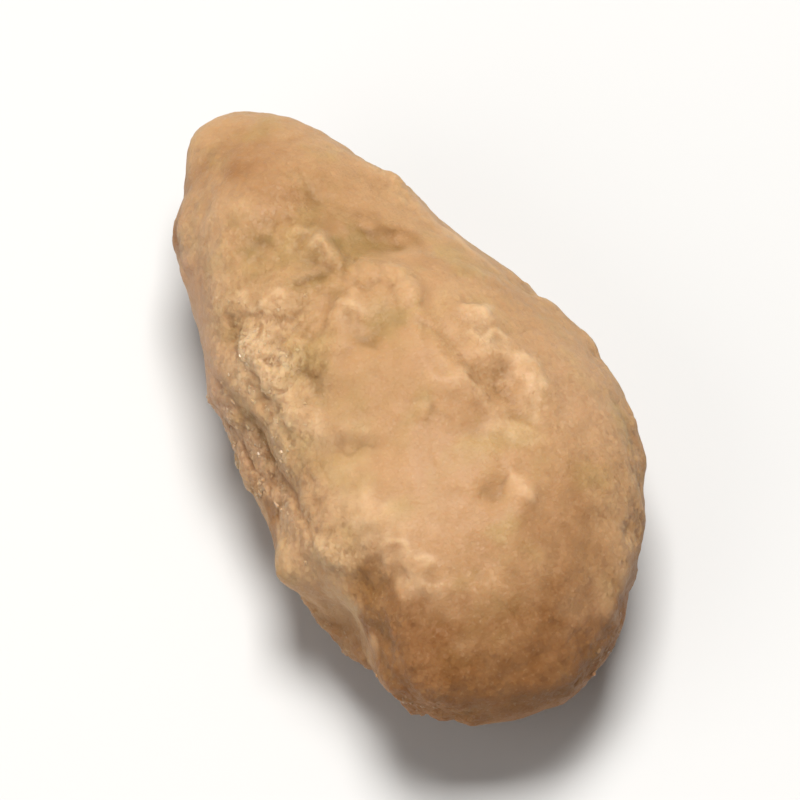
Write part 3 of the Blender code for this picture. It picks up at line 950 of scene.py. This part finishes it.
def noise(tree, where, kind):
    """Soft random patches from 0 to 1, about one span in millimetres apart."""
    values = {"Vector": where, "Scale": 1.0 / (kind.span * MM), "Detail": kind.detail}
    return add_node(tree, "ShaderNodeTexNoise", {}, values)[0]


def vector_math(tree, operation, first, second):
    """The vector and the number that a Vector Math node gives for these two."""
    return add_node(tree, "ShaderNodeVectorMath", {"operation": operation}, (first, second))


def facets(tree, where, span):
    """Height of small flat facets: inside each random cell, the way from the cell's middle
    measured along a random direction."""
    values = {"Vector": where, "Scale": 1.0 / (span * MM)}
    _, colour, middle, _, _ = add_node(tree, "ShaderNodeTexVoronoi", {}, values)
    lean, _ = vector_math(tree, "SUBTRACT", colour, MIDDLE_GREY)
    offset, _ = vector_math(tree, "SUBTRACT", where, middle)
    _, height = vector_math(tree, "DOT_PRODUCT", offset, lean)
    return height


def sugar_colour(tree, where):
    """The sugar's colour, its fine mottle and what the piece's attributes say."""
    known = {name: kept_number(tree, name) for name in attributes}
    patches, tints, mottle, speckle = (
        noise(tree, where, kind) for kind in (PATCHES, TINTS, MOTTLE, SPECKLE)
    )
    # Where the browning, which is partly painted shade, is laid over.
    browned_and_shaded = (known["toast_and_painted_shade"] * TOAST_AND_SHADE_GAIN + patches * TOAST_AND_SHADE_PATCHES - TOAST_AND_SHADE_START).step(0.0, 1.0)
    # Paler raised tops, and the pale marks that are partly painted light.
    pale_and_painted_light = known["broad_rise"].step(*TOP_EDGE) * TOP_SHARE + known["pale_and_painted_light"] * PALE_AND_PAINTED_LIGHT_SHARE
    # Painted shade in hollows, where the sugar lies below the sugar further round.
    hollow_shade = 1.0 - known["broad_rise"].step(*HOLLOW_SHADE_EDGE)
    # Painted shade in the seams between crystals, where the sugar lies below its close neighbours.
    seam_shade = 1.0 - known["small_rise"].step(*SEAM_SHADE_EDGE)

    colour = mixed(tree, known["crystalline"], MELTED_TAN, TAN)
    layers = (
        (tints.step(*TINT_EDGE) * PEACH_SHARE, PEACH),
        ((1.0 - tints).step(*TINT_EDGE) * HONEY_SHARE, HONEY),
        (patches.step(*PATCH_EDGE) * PATCH_SHARE, BROWN),
        # pale sugar, partly painted light
        (pale_and_painted_light * mottle.step(*PALE_AND_LIGHT_EDGE), CREAM),
        # rose on the rims, partly painted rim light
        (known["rosy_rim_light"] * ROSY_RIM_LIGHT_SHARE, RIM_LIGHT_ROSE),
        # browning, partly painted shade
        (browned_and_shaded * (BROWNED_AND_SHADED_SHARE[0] + mottle * BROWNED_AND_SHADED_SHARE[1]), BROWN),
        # painted shade in the hollows
        (hollow_shade * HOLLOW_SHADE_SHARE, HOLLOW_SHADE_BROWN),
        # olive in pits and recesses, partly painted shade
        (known["olive_and_shade"] * OLIVE_AND_SHADE_SHARE * mottle.step(*OLIVE_AND_SHADE_EDGE), OLIVE),
        # painted shade in the seams
        (seam_shade * (SEAM_SHADE_SHARE[0] + known["crystalline"] * SEAM_SHADE_SHARE[1]), BROWN),
        (known["pock"].step(*POCK_EDGE) * POCK_SHARE, SHADE_BROWN),
        (speckle.step(*SPECKLE_EDGE) * SPECKLE_SHARE, CREAM),
    )
    for share, over in layers:
        colour = mixed(tree, share, colour, over)
    return colour, mottle, known


# %% [markdown]
# Light wanders a little inside the sugar, which the shader's subsurface gives. Crystals too small
# for the mesh are a bump: a texture of random cells, each a facet that leans its own way.

# %% The coat's material
Facets = namedtuple("Facets", "span melted crystalline")
TINY = Facets(0.20, 0.12, 0.70)      # span in millimetres, strength, what dry crystals add
TINIER = Facets(0.11, 0.20, 0.4)
COAT_ROUGHNESS = (0.44, 0.14)        # the least, and what the mottle adds
GLAZE = 0.03                         # the most clear glaze that melted sugar has

coat_finish, tree, shader = finish_of("browned_sugar", TAN, {
    "Subsurface Weight": 0.55,
    "Subsurface Scale": 0.0009,
    "Subsurface Radius": (1.0, 0.60, 0.35),
    "IOR": 1.50,
    "Specular IOR Level": 0.16,
    "Coat Roughness": 0.25,
})
where = place_on_object(tree)
colour, mottle, known = sugar_colour(tree, where)
tiny, tinier = (
    facets(tree, where, kind.span) * (kind.melted + known["crystalline"] * kind.crystalline)
    for kind in (TINY, TINIER)
)
bump_values = {"Strength": 1.0, "Distance": 1.0, "Height": tiny + tinier}
bump = add_node(tree, "ShaderNodeBump", {}, bump_values)[0]
roughness = COAT_ROUGHNESS[0] + mottle * COAT_ROUGHNESS[1]
glaze = (1.0 - known["crystalline"]) * GLAZE

tree.links.new(colour.socket, shader.inputs["Base Color"])
tree.links.new(roughness.socket, shader.inputs["Roughness"])
tree.links.new(glaze.socket, shader.inputs["Coat Weight"])
tree.links.new(bump.socket, shader.inputs["Normal"])
sugar_coat.data.materials.append(coat_finish)
print(f"{coat_finish.name}: {len(tree.nodes)} nodes")

# %% The crystals' material
CRYSTAL_PALENESS = 0.15

crystal_finish, tree, shader = finish_of("sugar_crystal", CREAM, {
    "Subsurface Weight": 0.4,
    "Subsurface Scale": 0.0004,
    "Subsurface Radius": (1.0, 0.6, 0.35),
    "Roughness": 0.30,
    "IOR": 1.54,
    "Specular IOR Level": 0.45,
})
colour, _, _ = sugar_colour(tree, place_on_object(tree))
colour = mixed(tree, CRYSTAL_PALENESS, colour, CREAM)
tree.links.new(colour.socket, shader.inputs["Base Color"])
sugar_crystals.data.materials.append(crystal_finish)
print(f"{crystal_finish.name}: {len(tree.nodes)} nodes")

# %% [markdown]
# ## The coat takes the solid's place
#
# The real sweet is one piece, and its crystals are stuck fast. The coat could be drawn over the
# plain solid, but the two skins would cross here and there, so the coat is shown instead of it
# and the solid stays hidden underneath. Coat and crystals move as the almond does.

# %% Hand the pieces over
for piece in (sugar_coat, sugar_crystals):
    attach(piece, "root")
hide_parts("candied_almond")

# %% [markdown]
# ## A small studio
#
# The almond lies on a plain pale table under one large soft light, with the camera a forearm's
# length away and a long lens, as a person would see it.

# %% Floor, lights and world
FLOOR_HALF_SIDE = 1500.0  # in millimetres
FLOOR_COLOUR = (0.66, 0.65, 0.63, 1.0)
CENTRE = Vector((0.0, 0.0, 0.5 * HEIGHT * MM))
WHITE = (1.0, 1.0, 1.0, 1.0)
WORLD_STRENGTH = 0.16

floor_corners = FLOOR_HALF_SIDE * np.array([(-1, -1, 0), (1, -1, 0), (1, 1, 0), (-1, 1, 0)])
floor = mesh_object("floor", floor_corners, [(0, 1, 2, 3)], smooth=False)
floor.data.materials.append(finish_of("pale_table", FLOOR_COLOUR, {"Roughness": 0.6})[0])
floor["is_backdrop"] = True


def soft_light(name, place, side, power):
    """A square area light that faces the almond, its place and side in metres."""
    lamp = bpy.data.lights.new(name, "AREA")
    lamp.size = side
    lamp.energy = power
    light = bpy.data.objects.new(name, lamp)
    light.location = place
    light.rotation_mode = "QUATERNION"
    light.rotation_quaternion = (Vector(place) - CENTRE).to_track_quat("Z", "Y")
    light.visible_camera = False
    bpy.context.scene.collection.objects.link(light)


soft_light("key", place=(0.04, 0.07, 0.40), side=0.16, power=2.03)
soft_light("fill", place=(-0.30, -0.02, 0.22), side=0.30, power=0.40)

world = bpy.data.worlds.new("studio")
world.use_nodes = True
background = world.node_tree.nodes["Background"]
background.inputs["Color"].default_value = WHITE
background.inputs["Strength"].default_value = WORLD_STRENGTH
bpy.context.scene.world = world
bpy.context.scene.view_settings.view_transform = "Standard"

# %% The camera
AZIMUTH = -29.2           # degrees, as the photograph's camera saw the almond
ELEVATION = 65.0
DISTANCE = 0.40           # in metres, as are the next two
FRAME_WIDTH = 0.030
CLIP_START = 0.01

azimuth, elevation = math.radians(AZIMUTH), math.radians(ELEVATION)
back = Vector((
    math.sin(azimuth) * math.cos(elevation),
    -math.cos(azimuth) * math.cos(elevation),
    math.sin(elevation),
))
camera_data = bpy.data.cameras.new("camera")
camera_data.lens = camera_data.sensor_width * DISTANCE / FRAME_WIDTH
camera_data.clip_start = CLIP_START
camera = bpy.data.objects.new("camera", camera_data)
camera.location = CENTRE + DISTANCE * back
camera.rotation_mode = "QUATERNION"
camera.rotation_quaternion = back.to_track_quat("Z", "Y")
bpy.context.scene.collection.objects.link(camera)
bpy.context.scene.camera = camera
print(f"camera lens {camera_data.lens:.0f} mm, {DISTANCE} m away")

# %% Measure and finish
visual_box = [list(corner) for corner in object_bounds()]
for axis, name in enumerate("XYZ"):
    grown = [(visual_box[end][axis] - cad_box[end][axis]) / MM for end in (0, 1)]
    print(f"{name}: the looks pass the solid by {-grown[0]:+.3f} and {grown[1]:+.3f} mm")
